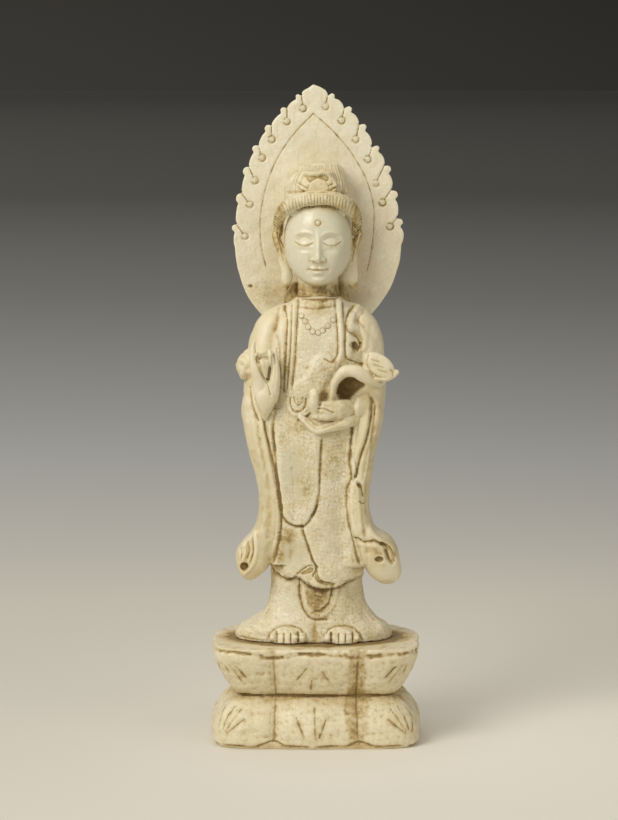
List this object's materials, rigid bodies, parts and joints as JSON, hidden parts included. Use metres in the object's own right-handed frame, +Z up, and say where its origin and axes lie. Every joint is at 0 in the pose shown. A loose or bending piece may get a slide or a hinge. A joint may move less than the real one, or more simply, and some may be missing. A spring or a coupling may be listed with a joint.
{
  "type": "guanyin statue",
  "caption": "Standing robed Guanyin with a leaf-shaped halo, carved in pale stone, resting on a double lotus pedestal.",
  "frame": {"origin": "middle of the pedestal's underside", "axes": "+Z up, the figure faces -Y, +X to the viewer's right"},
  "size_m": [0.1024, 0.077, 0.3167],
  "materials": {
    "pale_stone": "polished face and apron, frosted robe, brown dirt in the hollows",
    "aged_pale_stone": "frosted, worn at the rims, brown dirt in the grooves"
  },
  "bodies": {
    "root": {"guanyin_figure": "pale_stone", "lotus_pedestal": "aged_pale_stone"}
  },
  "joints": []
}
